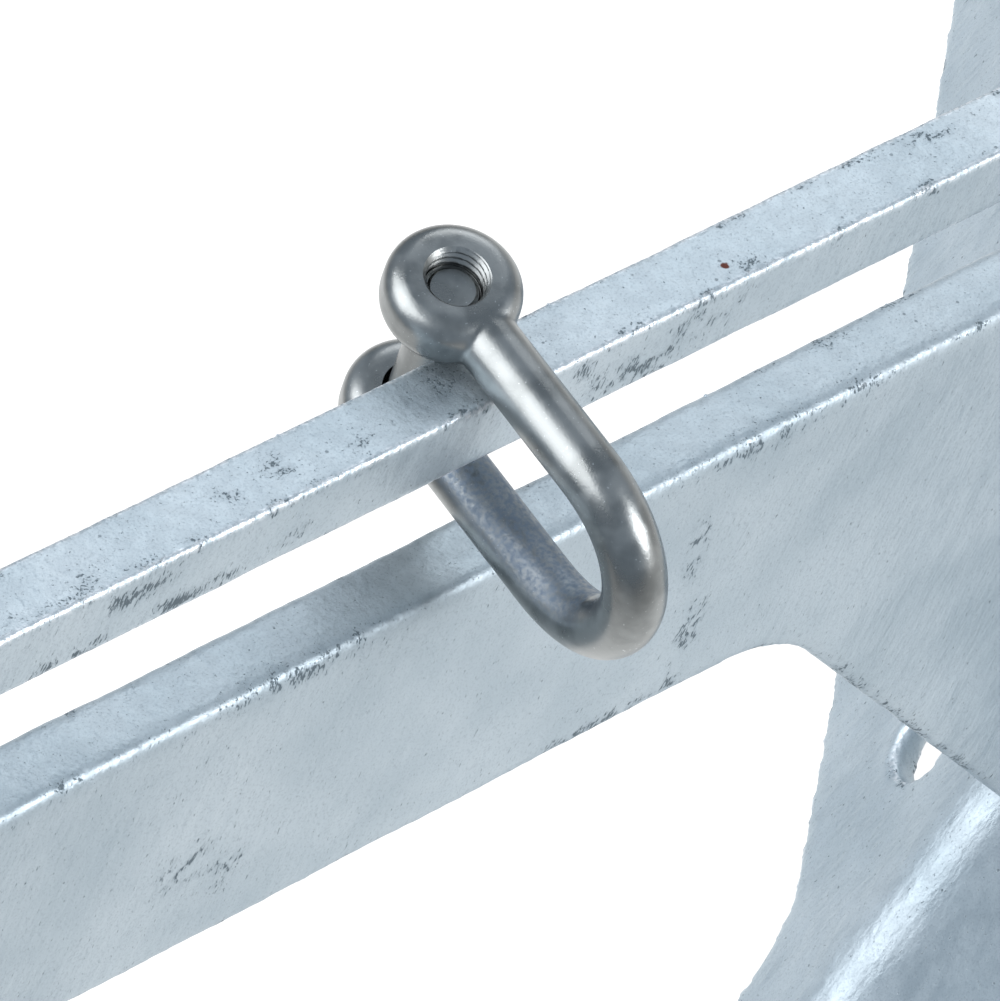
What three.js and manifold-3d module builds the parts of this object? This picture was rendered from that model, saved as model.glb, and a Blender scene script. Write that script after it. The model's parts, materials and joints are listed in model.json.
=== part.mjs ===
// Plow anchor with a slide rail: a shank plate with a square rail above it, a
// folded plow fluke on three points of the ground, and a screw-pin D shackle on the rail.
//
// Millimetres, +Z up. The anchor stands on its point and its two wing corners, the shank
// plate lies in the plane y = 0, and the free end of the shank is towards -X.
// The pieces are drawn in the rail's own frame (x along the rail towards the crown,
// z square to it, z = 0 at the rail's underside), and that frame is pitched to stand.
import * as THREE from 'three';
import * as BufferGeometryUtils from 'three/addons/utils/BufferGeometryUtils.js';
import { ConvexGeometry } from 'three/addons/geometries/ConvexGeometry.js';
import Module from 'manifold-3d';

const wasm = await Module();
wasm.setup();

const degrees = Math.PI / 180;

// ---- driving dimensions ----
const fitGap = 0.3; // between pieces that are welded or lie against each other
const weldLeg = 4.5; // leg of the weld beads on the rail's front foot and along the web
const heavyWeldLeg = 5; // on the rail's rear foot and on the brace
const lightWeldLeg = 3; // along the ballast's side plates
const weldFullness = 0.58; // crown of a bead, as a share of both its legs
const weldInset = 2; // a long bead stops this far short of the edge it runs to

const railWidth = 12.2;
const railHeight = 12.8;
const railRearX = 205; // where the rear bend starts
const railFrontX = -112; // where the front bend starts
const railRearBend = 18; // radius of the rail's centre line
const railFrontBend = 38;
const railFrontBendAngle = 62 * degrees;

const shankThickness = 13.2;
const shankGap = 29; // clear height of the slot under the rail
const shankDepth = 56.8;
const archStartX = -78; // the shank bends down in front of this
const archRadius = 240; // to the middle of the shank's depth
const archAngle = 50 * degrees;
const noseLength = 95; // straight stretch from the arch to the chain eye
const noseRadius = 22;
const chainEyeRadius = 8;
const throatRadius = 37;
const throatX = 82; // where the shank's lower edge and the web's front edge would meet
const webAngle = 46.9 * degrees; // web's front edge, below the rail's direction
const webLength = 125.5; // from that corner to the ridge, along the front edge
const crownX = 258; // rear edge of the shank plate
const crownRadius = 22;
const heelSetback = 4; // web's rear foot, in front of the ridge's rear end

const ridgeAngle = 53.7 * degrees; // ridge, below the rail's direction
const ridgeRear = 150; // ridge length behind the web's front foot
const ridgeFront = 104; // and in front of it, to the forged point
const foldRadius = 11;
const foldStrip = 9.5; // flat side of the ridge fold
const bladeSlope = 35 * degrees; // blades, down from level across the ridge
const bladeThickness = 6;
const beakWidth = 14.5; // blade width at the forged point
const flareStart = -58; // where the leading edge turns out, from the web's front foot
const flareWidth = 18.3;
const flareLength = 18; // run of the curve that turns it
const flareRise = 8; // and how far out the curve reaches
const wingWidth = 208; // out from the ridge to the wing's tip
const wingTipLength = 36.1; // from the end of the leading edge to the wing's rear
const wingFrontCorner = 15; // how far in from the tip its front and rear roundings start
const wingRearCorner = 21;
const trailingBulge = 4; // middle of the trailing edge, behind the wing's rear
const leadingAngle = 50.8 * degrees; // leading edge, off the ridge
const tripHoleRadius = 7;
const tripHoleAcross = 20.8;
const tripHoleBehind = -6.2;

const pointLength = 54;
const pointTipHeight = 7;
const pointTipWidth = 9;
const ballastLength = 84;
const ballastHalfWidth = 10;
const ballastDrop = 34; // lower face, under the ridge
const ballastRake = 40; // length of the sloping rear underside
const ballastRearDrop = 21;
const pointToeDrop = 2; // the tip's shoulders, below its ridge
const sidePlateThickness = 4;
const sidePlateLift = 2; // lower edge, above the ballast's lower face
const sidePlateRearDepth = 5;

const braceBehind = 112;
const braceThickness = 8;
const braceTop = 21;
const braceDrop = 58;

const shackleSteel = 10; // diameter of the bow's bar
const shackleHalfSpan = 16.85; // pin's middle to the middle of each leg
const shackleLeg = 35; // straight leg, from the pin to the bend
const eyeDiameter = 21.5;
const eyeSwell = 0.25; // eyes, thicker than the bar
const eyeEdgeRadius = 3.7;
const threadedHoleRadius = 4.75;
const plainHoleRadius = 5.2;
const pinRadius = 4.4;
const pinRecess = 3.6; // pin's end, below the threaded eye's face
const pinCollarRadius = 8.4;
const pinCollarThickness = 3.5;
const pinCollarChamfer = 0.8;
const pinChamfer = 1;
const pinTabWidth = 15;
const pinTabReach = 4.65; // straight part of the tab, under the collar
const pinTabThickness = 6;
const pinTabHoleRadius = 3.2;
const pinTabHoleDrop = 5.75;
const shackleLean = 11.6 * degrees; // legs, down from square across the rail
const shackleYaw = 3.4 * degrees; // legs, turned towards the free end
const shackleRoll = 9.6 * degrees; // pin, leaning towards the free end
const shackleAlong = -2.87; // pin's middle, along the rail

// ---- finishes ----
const galvanised = new THREE.MeshStandardMaterial({ color: 0xb4c3ca, roughness: 0.5, metalness: 0.7 });
const galvanisedCasting = new THREE.MeshStandardMaterial({ color: 0xa6b5bd, roughness: 0.6, metalness: 0.7 });
const weldMetal = new THREE.MeshStandardMaterial({ color: 0xaab6bc, roughness: 0.6, metalness: 0.7 });
const stainless = new THREE.MeshStandardMaterial({ color: 0x8b979d, roughness: 0.3, metalness: 0.95 });

// ---- small helpers ----
function pieceOf(name, geometry, material) {
  const mesh = new THREE.Mesh(geometry, material);
  mesh.name = name;
  return mesh;
}

function solidOf(geometry) {
  const bare = geometry.clone();
  bare.deleteAttribute('normal');
  bare.deleteAttribute('uv');
  const merged = BufferGeometryUtils.mergeVertices(bare, 1e-4);
  return new wasm.Manifold(new wasm.Mesh({
    numProp: 3,
    vertProperties: new Float32Array(merged.attributes.position.array),
    triVerts: new Uint32Array(merged.index.array),
  }));
}

function geometryOf(solid) {
  const mesh = solid.getMesh();
  const geometry = new THREE.BufferGeometry();
  geometry.setAttribute('position', new THREE.BufferAttribute(new Float32Array(mesh.vertProperties), 3));
  geometry.setIndex(new THREE.BufferAttribute(new Uint32Array(mesh.triVerts), 1));
  geometry.computeVertexNormals();
  return geometry;
}

// A plate drawn in x and z, with its thickness centred on y = 0.
function uprightPlate(shape, thickness, curveSegments) {
  const plate = new THREE.ExtrudeGeometry(shape, { depth: thickness, bevelEnabled: false, curveSegments });
  return plate.rotateX(Math.PI / 2).translate(0, thickness / 2, 0);
}

// A section drawn in y and z, drawn out along x from one station to another.
function drawnAlongX(shape, fromX, toX, curveSegments) {
  const bar = new THREE.ExtrudeGeometry(shape, { depth: toX - fromX, bevelEnabled: false, curveSegments });
  bar.applyMatrix4(new THREE.Matrix4().makeBasis(
    new THREE.Vector3(0, 1, 0), new THREE.Vector3(0, 0, 1), new THREE.Vector3(1, 0, 0)));
  return bar.translate(fromX, 0, 0);
}

// A bead of weld metal in the corner between two faces: its three-sided section is
// given by the corner's line and a direction lying in each face.
function cornerBead(start, end, faceA, faceB, legLength) {
  const clearance = fitGap / Math.sin(faceA.angleTo(faceB) / 2);
  const inward = faceA.clone().add(faceB).normalize().multiplyScalar(clearance);
  const points = [];
  for (const foot of [start, end]) {
    const corner = foot.clone().add(inward);
    points.push(corner);
    points.push(corner.clone().addScaledVector(faceA, legLength));
    points.push(corner.clone().addScaledVector(faceB, legLength));
    points.push(corner.clone().addScaledVector(faceA.clone().add(faceB), legLength * weldFullness));
  }
  return new ConvexGeometry(points);
}

// ---- derived places ----
const shankTop = -shankGap;
const shankBottom = -shankGap - shankDepth;
const shankMiddle = (shankTop + shankBottom) / 2;
const archCentre = new THREE.Vector2(archStartX, shankMiddle - archRadius);
const webDirection = new THREE.Vector2(Math.cos(webAngle), -Math.sin(webAngle));
const ridgeFoot = new THREE.Vector2(throatX, shankBottom).addScaledVector(webDirection, webLength);
const ridgeUp = new THREE.Vector2(Math.cos(ridgeAngle), Math.sin(ridgeAngle));
const ridgeNormal = new THREE.Vector2(-ridgeUp.y, ridgeUp.x);

function onRidge(behind, above) {
  return ridgeFoot.clone().addScaledVector(ridgeUp, behind).addScaledVector(ridgeNormal, above);
}

// ---- shank plate: arm, throat and root web cut from one plate ----
function shankShape() {
  const halfDepth = shankDepth / 2;
  const armEnd = new THREE.Vector2(
    archCentre.x - archRadius * Math.sin(archAngle),
    archCentre.y + archRadius * Math.cos(archAngle));
  const armDirection = new THREE.Vector2(-Math.cos(archAngle), -Math.sin(archAngle));
  const chainEye = armEnd.clone().addScaledVector(armDirection, noseLength);
  const upAngle = Math.PI / 2 + archAngle;
  const throatTangent = throatRadius * Math.tan(webAngle / 2);
  const webFoot = onRidge(0, fitGap);
  const rearFoot = onRidge(ridgeRear - heelSetback, fitGap);
  const shape = new THREE.Shape();
  shape.moveTo(archStartX, shankTop);
  shape.absarc(archCentre.x, archCentre.y, archRadius + halfDepth, Math.PI / 2, upAngle, false);
  shape.absarc(chainEye.x, chainEye.y, noseRadius, upAngle, upAngle + Math.PI, false);
  shape.absarc(archCentre.x, archCentre.y, archRadius - halfDepth, upAngle, Math.PI / 2, true);
  shape.lineTo(throatX - throatTangent, shankBottom);
  shape.absarc(throatX - throatTangent, shankBottom - throatRadius, throatRadius,
    Math.PI / 2, Math.PI / 2 - webAngle, true);
  shape.lineTo(webFoot.x, webFoot.y);
  shape.lineTo(rearFoot.x, rearFoot.y);
  shape.absarc(crownX - crownRadius, shankTop - crownRadius, crownRadius, 0, Math.PI / 2, false);
  shape.closePath();
  const eyeHole = new THREE.Path();
  eyeHole.absarc(chainEye.x, chainEye.y, chainEyeRadius, 0, 2 * Math.PI, true);
  shape.holes.push(eyeHole);
  return shape;
}

function shankPlate() {
  return pieceOf('shank', uprightPlate(shankShape(), shankThickness, 36), galvanised);
}

// ---- slide rail: one bar with both ends bent down on to the shank ----
const railMiddle = railHeight / 2;
const railRearFootX = railRearX + railRearBend;
const railFrontDirection = new THREE.Vector2(-Math.cos(railFrontBendAngle), -Math.sin(railFrontBendAngle));
const railFrontBendEnd = new THREE.Vector2(
  railFrontX - railFrontBend * Math.sin(railFrontBendAngle),
  railMiddle - railFrontBend * (1 - Math.cos(railFrontBendAngle)));

// Distance from the end of the front bend to the shank's curved top edge, for a line
// beside the rail's centre line.
function frontLegLength(sideways) {
  const normal = new THREE.Vector2(-railFrontDirection.y, railFrontDirection.x);
  const start = railFrontBendEnd.clone().addScaledVector(normal, sideways).sub(archCentre);
  const reach = archRadius + shankDepth / 2 + fitGap;
  const along = start.dot(railFrontDirection);
  return -along - Math.sqrt(along * along - start.lengthSq() + reach * reach);
}

function slideRail() {
  const half = railHeight / 2;
  const rearFootZ = shankTop + fitGap;
  const side = new THREE.Vector2(-railFrontDirection.y, railFrontDirection.x);
  const outerFoot = railFrontBendEnd.clone().addScaledVector(side, -half)
    .addScaledVector(railFrontDirection, frontLegLength(-half));
  const innerFoot = railFrontBendEnd.clone().addScaledVector(side, half)
    .addScaledVector(railFrontDirection, frontLegLength(half));
  const bendEndAngle = Math.PI / 2 + railFrontBendAngle;
  const shape = new THREE.Shape();
  shape.moveTo(railRearFootX + half, rearFootZ);
  shape.absarc(railRearX, railMiddle - railRearBend, railRearBend + half, 0, Math.PI / 2, false);
  shape.absarc(railFrontX, railMiddle - railFrontBend, railFrontBend + half, Math.PI / 2, bendEndAngle, false);
  shape.lineTo(outerFoot.x, outerFoot.y);
  shape.lineTo(innerFoot.x, innerFoot.y);
  shape.absarc(railFrontX, railMiddle - railFrontBend, railFrontBend - half, bendEndAngle, Math.PI / 2, true);
  shape.absarc(railRearX, railMiddle - railRearBend, railRearBend - half, Math.PI / 2, 0, true);
  shape.lineTo(railRearFootX - half, rearFootZ);
  shape.closePath();
  return pieceOf('slide_rail', uprightPlate(shape, railWidth, 10), galvanised);
}

// ---- welds at the rail's two feet: a bead across the front and the back of each ----
function railFootWelds() {
  const half = railHeight / 2;
  const across = railWidth / 2;
  const up = new THREE.Vector3(0, 0, 1);
  const beads = [];
  for (const [name, towards] of [['rail_rear_weld_front', -1], ['rail_rear_weld_back', 1]]) {
    const x = railRearFootX + towards * half;
    const start = new THREE.Vector3(x, -across, shankTop);
    const end = new THREE.Vector3(x, across, shankTop);
    const along = new THREE.Vector3(towards, 0, 0);
    beads.push(pieceOf(name, cornerBead(start, end, up, along, heavyWeldLeg), weldMetal));
  }
  for (const [name, towards] of [['rail_front_weld_front', -1], ['rail_front_weld_back', 1]]) {
    const side = new THREE.Vector2(-railFrontDirection.y, railFrontDirection.x);
    const foot = railFrontBendEnd.clone().addScaledVector(side, towards * half)
      .addScaledVector(railFrontDirection, frontLegLength(towards * half) + fitGap);
    const radial = foot.clone().sub(archCentre).normalize();
    const tangent = new THREE.Vector3(radial.y * towards, 0, -radial.x * towards);
    const start = new THREE.Vector3(foot.x, -across, foot.y);
    const end = new THREE.Vector3(foot.x, across, foot.y);
    const upRail = new THREE.Vector3(-railFrontDirection.x, 0, -railFrontDirection.y);
    beads.push(pieceOf(name, cornerBead(start, end, upRail, tangent, weldLeg), weldMetal));
  }
  return beads;
}

// ---- fluke, drawn in the ridge's frame: x up the ridge, z square to it, z = 0 on top ----
const foldPlane = new THREE.Vector3(0, 0, -foldRadius); // centre line of the fold's bend
const bladeUnderside = foldRadius - bladeThickness; // square off that line

// A point of the far blade's section: across from the fold's centre, and square off it.
function onBlade(across, above) {
  return new THREE.Vector2(
    across * Math.cos(bladeSlope) + above * Math.sin(bladeSlope),
    foldPlane.z - across * Math.sin(bladeSlope) + above * Math.cos(bladeSlope));
}

// How far across the blade's underside is at this height, plus a clearance below it.
function acrossUnderside(z, clearance) {
  return (foldPlane.z - z + (bladeUnderside - clearance) * Math.cos(bladeSlope)) / Math.sin(bladeSlope);
}

// Height of the blades' underside this far out from the middle, less a clearance.
function undersideHeight(y, clearance) {
  const middleHeight = foldPlane.z + (bladeUnderside - clearance) / Math.cos(bladeSlope);
  return middleHeight - Math.abs(y) * Math.tan(bladeSlope);
}

function ridgeFold() {
  const outer = onBlade(foldStrip, foldRadius);
  const inner = onBlade(foldStrip, bladeUnderside);
  const shape = new THREE.Shape();
  shape.moveTo(inner.x, inner.y);
  shape.lineTo(outer.x, outer.y);
  shape.absarc(0, foldPlane.z, foldRadius, Math.PI / 2 - bladeSlope, Math.PI / 2 + bladeSlope, false);
  shape.lineTo(-outer.x, outer.y);
  shape.lineTo(-inner.x, inner.y);
  shape.lineTo(0, undersideHeight(0, 0));
  shape.closePath();
  return pieceOf('ridge_fold', drawnAlongX(shape, -ridgeFront, ridgeRear, 8), galvanised);
}

// One blade: side is 1 for the far one and -1 for the near one.
function flukeBlade(name, side) {
  const at = (behind, across) => [behind, side * across];
  const innerEdge = foldStrip + fitGap;
  const leadingSlope = Math.tan(leadingAngle);
  const beakSlope = (flareWidth - beakWidth) / (ridgeFront + flareStart);
  const flareCorner = (flareLength * leadingSlope - flareRise) / (leadingSlope - beakSlope);
  const flareEnd = flareStart + flareLength;
  const edgeRun = (wingWidth - wingFrontCorner - flareWidth - flareRise) / leadingSlope;
  const wingFront = flareEnd + edgeRun;
  const tipCorner = wingFront + wingFrontCorner / leadingSlope;
  const wingRear = wingFront + wingTipLength;
  const tipMiddle = (tipCorner + wingRear) / 2;
  const shape = new THREE.Shape();
  shape.moveTo(...at(-ridgeFront, innerEdge));
  shape.lineTo(...at(-ridgeFront, beakWidth));
  shape.lineTo(...at(flareStart, flareWidth));
  shape.quadraticCurveTo(...at(flareStart + flareCorner, flareWidth + flareCorner * beakSlope),
    ...at(flareEnd, flareWidth + flareRise));
  shape.lineTo(...at(wingFront, wingWidth - wingFrontCorner));
  shape.quadraticCurveTo(...at(tipCorner, wingWidth), ...at(tipMiddle, wingWidth));
  shape.quadraticCurveTo(...at(wingRear, wingWidth), ...at(wingRear, wingWidth - wingRearCorner));
  shape.quadraticCurveTo(...at(wingRear + trailingBulge, wingWidth / 2), ...at(ridgeRear, innerEdge));
  shape.closePath();
  const hole = new THREE.Path();
  hole.absarc(tripHoleBehind, side * tripHoleAcross, tripHoleRadius, 0, 2 * Math.PI, side < 0);
  shape.holes.push(hole);
  const plate = new THREE.ExtrudeGeometry(shape, {
    depth: bladeThickness, bevelEnabled: false, curveSegments: 12,
  });
  const blade = pieceOf(name, plate.translate(0, 0, bladeUnderside), galvanised);
  blade.position.copy(foldPlane);
  blade.rotation.x = -side * bladeSlope;
  return blade;
}

function forgedPoint() {
  const rootOuter = onBlade(beakWidth, foldRadius);
  const rootX = -ridgeFront - fitGap;
  const tipX = rootX - pointLength;
  const halfTip = pointTipWidth / 2;
  const tipTop = -ballastDrop / 2;
  const points = [
    new THREE.Vector3(rootX, 0, 0),
    new THREE.Vector3(tipX, 0, tipTop),
  ];
  for (const side of [1, -1]) {
    points.push(new THREE.Vector3(rootX, side * foldRadius * Math.sin(bladeSlope),
      foldPlane.z + foldRadius * Math.cos(bladeSlope)));
    points.push(new THREE.Vector3(rootX, side * rootOuter.x, rootOuter.y));
    points.push(new THREE.Vector3(rootX, side * rootOuter.x, rootOuter.y - bladeThickness));
    points.push(new THREE.Vector3(rootX, side * ballastHalfWidth, -ballastDrop));
    points.push(new THREE.Vector3(tipX, side * halfTip, tipTop - pointToeDrop));
    points.push(new THREE.Vector3(tipX, side * halfTip, tipTop - pointTipHeight));
  }
  return pieceOf('forged_point', new ConvexGeometry(points), galvanisedCasting);
}

// Ballast under the ridge, shaped to the inside of the blades, with a sloping rear end.
function ballastCasting() {
  const frontX = -ridgeFront;
  const rearX = frontX + ballastLength;
  const points = [];
  const rakeX = rearX - ballastRake;
  for (const [x, drop] of [[frontX, ballastDrop], [rakeX, ballastDrop], [rearX, ballastRearDrop]]) {
    points.push(new THREE.Vector3(x, 0, undersideHeight(0, fitGap)));
    for (const side of [1, -1]) {
      points.push(new THREE.Vector3(x, side * ballastHalfWidth, undersideHeight(ballastHalfWidth, fitGap)));
      points.push(new THREE.Vector3(x, side * ballastHalfWidth, -drop));
    }
  }
  return pieceOf('ballast_casting', new ConvexGeometry(points), galvanisedCasting);
}

// Side plates that box the ballast in, one each side, cut to the blade's underside.
const sidePlateOuter = ballastHalfWidth + fitGap + sidePlateThickness;

function ballastSidePlate(name, side) {
  const points = [];
  const frontX = -ridgeFront;
  const rearX = frontX + ballastLength;
  const rearZ = undersideHeight(sidePlateOuter, fitGap) - sidePlateRearDepth;
  for (const y of [sidePlateOuter - sidePlateThickness, sidePlateOuter]) {
    points.push(new THREE.Vector3(frontX, side * y, undersideHeight(y, fitGap)));
    points.push(new THREE.Vector3(rearX, side * y, undersideHeight(y, fitGap)));
    points.push(new THREE.Vector3(rearX, side * y, rearZ));
    points.push(new THREE.Vector3(rearX - ballastRake, side * y, sidePlateLift - ballastDrop));
    points.push(new THREE.Vector3(frontX, side * y, sidePlateLift - ballastDrop));
  }
  return pieceOf(name, new ConvexGeometry(points), galvanised);
}

// Cross brace between the blades' undersides, behind the web's foot.
function heelBrace() {
  const reach = (z) => onBlade(acrossUnderside(z, fitGap), bladeUnderside - fitGap).x;
  const shape = new THREE.Shape();
  shape.moveTo(reach(-braceTop), -braceTop);
  shape.lineTo(-reach(-braceTop), -braceTop);
  shape.lineTo(-reach(-braceDrop), -braceDrop);
  shape.lineTo(reach(-braceDrop), -braceDrop);
  shape.closePath();
  return pieceOf('heel_brace', drawnAlongX(shape, braceBehind, braceBehind + braceThickness, 1), galvanised);
}

// A bead between the web and the blade below it, on one side of the plate.
function webWeld(name, side) {
  const webFace = side * shankThickness / 2;
  const across = (Math.abs(webFace) - foldRadius * Math.sin(bladeSlope)) / Math.cos(bladeSlope);
  const footZ = onBlade(across, foldRadius).y;
  const downBlade = new THREE.Vector3(0, side * Math.cos(bladeSlope), -Math.sin(bladeSlope));
  return pieceOf(name, cornerBead(
    new THREE.Vector3(weldInset, webFace, footZ),
    new THREE.Vector3(ridgeRear - heelSetback - weldInset, webFace, footZ),
    new THREE.Vector3(0, 0, 1), downBlade, weldLeg), weldMetal);
}

// A bead down the brace's front face, under the blade.
function braceWeld(name, side) {
  const low = onBlade(acrossUnderside(-braceDrop, 0) - weldInset, bladeUnderside);
  const high = onBlade(acrossUnderside(-braceTop, 0) + weldInset, bladeUnderside);
  const under = new THREE.Vector3(0, -side * Math.sin(bladeSlope), -Math.cos(bladeSlope));
  return pieceOf(name, cornerBead(
    new THREE.Vector3(braceBehind, side * low.x, low.y),
    new THREE.Vector3(braceBehind, side * high.x, high.y),
    under, new THREE.Vector3(-1, 0, 0), heavyWeldLeg), weldMetal);
}

// A bead along a side plate's top edge, outside the ballast box.
function sidePlateWeld(name, side) {
  const cornerZ = undersideHeight(sidePlateOuter, 0);
  return pieceOf(name, cornerBead(
    new THREE.Vector3(weldInset - ridgeFront, side * sidePlateOuter, cornerZ),
    new THREE.Vector3(ballastLength - weldInset - ridgeFront, side * sidePlateOuter, cornerZ),
    new THREE.Vector3(0, 0, -1),
    new THREE.Vector3(0, side * Math.cos(bladeSlope), -Math.sin(bladeSlope)), lightWeldLeg), weldMetal);
}

// ---- D shackle, drawn with its pin along z and its bow towards -y ----
const eyeThickness = shackleSteel + eyeSwell;

function eyeRing(height) {
  const half = eyeThickness / 2;
  const edgeCentre = new THREE.Vector2(eyeDiameter / 2 - eyeEdgeRadius, half - eyeEdgeRadius);
  const profile = [new THREE.Vector2(0, -half)];
  for (const [end, firstTurn] of [[-1, -Math.PI / 2], [1, 0]]) {
    for (let step = 0; step <= 4; step += 1) {
      const turn = firstTurn + step * Math.PI / 8;
      profile.push(new THREE.Vector2(
        edgeCentre.x + eyeEdgeRadius * Math.cos(turn),
        end * edgeCentre.y + eyeEdgeRadius * Math.sin(turn)));
    }
  }
  profile.push(new THREE.Vector2(0, half));
  return new THREE.LatheGeometry(profile, 36).rotateX(Math.PI / 2).translate(0, 0, height);
}

function roundBore(radius, length, height) {
  return new THREE.CylinderGeometry(radius, radius, length, 32).rotateX(Math.PI / 2).translate(0, 0, height);
}

function shackleBow() {
  const path = new THREE.CurvePath();
  const corner = [
    new THREE.Vector3(0, 0, shackleHalfSpan),
    new THREE.Vector3(0, -shackleLeg, shackleHalfSpan),
    new THREE.Vector3(0, -shackleLeg, -shackleHalfSpan),
    new THREE.Vector3(0, 0, -shackleHalfSpan),
  ];
  const control = shackleHalfSpan * 4 / 3; // makes the curve close to a half circle
  path.add(new THREE.LineCurve3(corner[0], corner[1]));
  path.add(new THREE.CubicBezierCurve3(corner[1],
    new THREE.Vector3(0, -shackleLeg - control, shackleHalfSpan),
    new THREE.Vector3(0, -shackleLeg - control, -shackleHalfSpan), corner[2]));
  path.add(new THREE.LineCurve3(corner[2], corner[3]));
  const bar = new THREE.Shape();
  bar.absarc(0, 0, shackleSteel / 2, 0, 2 * Math.PI, false);
  const tube = new THREE.ExtrudeGeometry(bar, {
    steps: 44, curveSegments: 8, bevelEnabled: false, extrudePath: path,
  });
  const threadedEye = solidOf(eyeRing(shackleHalfSpan));
  const plainEye = solidOf(eyeRing(-shackleHalfSpan));
  const boreLength = eyeThickness * 2;
  const whole = solidOf(tube).add(threadedEye).add(plainEye)
    .subtract(solidOf(roundBore(threadedHoleRadius, boreLength, shackleHalfSpan + eyeThickness / 2)))
    .subtract(solidOf(roundBore(plainHoleRadius, boreLength, -shackleHalfSpan - eyeThickness / 2)))
    .subtract(solidOf(roundBore(plainHoleRadius, 2 * (shackleHalfSpan - eyeThickness / 2) + 1, 0)));
  return pieceOf('shackle_bow', geometryOf(whole), stainless);
}

function shacklePin() {
  const faceZ = shackleHalfSpan + eyeThickness / 2;
  const endZ = faceZ - pinRecess;
  const collarTop = -faceZ - fitGap;
  const collarBottom = collarTop - pinCollarThickness;
  const profile = [
    new THREE.Vector2(0, collarBottom),
    new THREE.Vector2(pinCollarRadius - pinCollarChamfer, collarBottom),
    new THREE.Vector2(pinCollarRadius, collarBottom + pinCollarChamfer),
    new THREE.Vector2(pinCollarRadius, collarTop - pinCollarChamfer),
    new THREE.Vector2(pinCollarRadius - pinCollarChamfer, collarTop),
    new THREE.Vector2(pinRadius, collarTop),
    new THREE.Vector2(pinRadius, endZ - pinChamfer),
    new THREE.Vector2(pinRadius - pinChamfer, endZ),
    new THREE.Vector2(0, endZ),
  ];
  const turned = new THREE.LatheGeometry(profile, 28).rotateX(Math.PI / 2);
  const tab = new THREE.Shape();
  tab.moveTo(pinTabWidth / 2, pinCollarChamfer);
  tab.lineTo(-pinTabWidth / 2, pinCollarChamfer);
  tab.lineTo(-pinTabWidth / 2, -pinTabReach);
  tab.absarc(0, -pinTabReach, pinTabWidth / 2, Math.PI, 2 * Math.PI, false);
  tab.closePath();
  const tabHole = new THREE.Path();
  tabHole.absarc(0, -pinTabHoleDrop, pinTabHoleRadius, 0, 2 * Math.PI, true);
  tab.holes.push(tabHole);
  const tabPlate = uprightPlate(tab, pinTabThickness, 8).translate(0, 0, collarBottom);
  return pieceOf('shackle_pin', geometryOf(solidOf(turned).add(solidOf(tabPlate))), stainless);
}

// The shackle hangs by its upper leg from the rail's top front edge, with its pin up
// against the rail's back: the pin's middle is worked out from those two clearances.
function shackle() {
  const group = new THREE.Group();
  group.add(shackleBow(), shacklePin());
  const pinUp = new THREE.Vector3(-Math.sin(shackleRoll), -Math.sin(shackleLean), 0);
  pinUp.z = Math.sqrt(1 - pinUp.lengthSq());
  const back = new THREE.Vector3(Math.sin(shackleYaw), 1, 0);
  back.addScaledVector(pinUp, -back.dot(pinUp)).normalize();
  const sideways = new THREE.Vector3().crossVectors(back, pinUp);
  group.setRotationFromMatrix(new THREE.Matrix4().makeBasis(sideways, back, pinUp));
  const lean = -pinUp.y / pinUp.z;
  const pinBack = railWidth / 2 + fitGap + pinRadius / Math.cos(shackleLean) + lean * railHeight;
  const legClear = (shackleSteel / 2 + fitGap) * Math.hypot(back.y, back.z);
  const legAcross = pinBack + pinUp.y * shackleHalfSpan + railWidth / 2;
  const legAbove = pinUp.z * shackleHalfSpan - railHeight;
  const up = (legClear + back.z * legAcross - back.y * legAbove) / (back.y + back.z * lean);
  group.position.set(shackleAlong, pinBack - lean * up, up);
  return group;
}

// ---- assembly ----
const ridgeFrame = new THREE.Group();
ridgeFrame.add(ridgeFold());
ridgeFrame.add(flukeBlade('blade_near', -1));
ridgeFrame.add(flukeBlade('blade_far', 1));
ridgeFrame.add(forgedPoint());
ridgeFrame.add(ballastCasting());
ridgeFrame.add(ballastSidePlate('ballast_side_near', -1));
ridgeFrame.add(ballastSidePlate('ballast_side_far', 1));
ridgeFrame.add(heelBrace());
for (const [word, side] of [['near', -1], ['far', 1]]) {
  ridgeFrame.add(webWeld(`web_weld_${word}`, side));
  ridgeFrame.add(braceWeld(`brace_weld_${word}`, side));
  ridgeFrame.add(sidePlateWeld(`side_plate_weld_${word}`, side));
}
ridgeFrame.position.set(ridgeFoot.x, 0, ridgeFoot.y);
ridgeFrame.rotation.y = -ridgeAngle;

const railFrame = new THREE.Group();
railFrame.add(shankPlate());
railFrame.add(slideRail());
railFrame.add(...railFootWelds());
railFrame.add(ridgeFrame);
railFrame.add(shackle());

// Pitch the rail's frame until the point and the wing corners stand level: the lowest
// vertex of each is followed as the pitch is halved in on.
function lowestHeight(mesh, pitch) {
  const toRailFrame = new THREE.Matrix4().copy(railFrame.matrixWorld).invert().multiply(mesh.matrixWorld);
  const position = mesh.geometry.attributes.position;
  const vertex = new THREE.Vector3();
  let lowest = Infinity;
  for (let index = 0; index < position.count; index += 1) {
    vertex.fromBufferAttribute(position, index).applyMatrix4(toRailFrame);
    lowest = Math.min(lowest, vertex.z * Math.cos(pitch) - vertex.x * Math.sin(pitch));
  }
  return lowest;
}

function pitchToStand() {
  railFrame.updateMatrixWorld(true);
  const point = railFrame.getObjectByName('forged_point');
  const blade = railFrame.getObjectByName('blade_near');
  let level = 0;
  let nose = Math.PI / 2;
  while (nose - level > 1e-7) {
    const middle = (level + nose) / 2;
    if (lowestHeight(blade, middle) > lowestHeight(point, middle)) level = middle;
    else nose = middle;
  }
  return (level + nose) / 2;
}

railFrame.rotation.y = pitchToStand();

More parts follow.
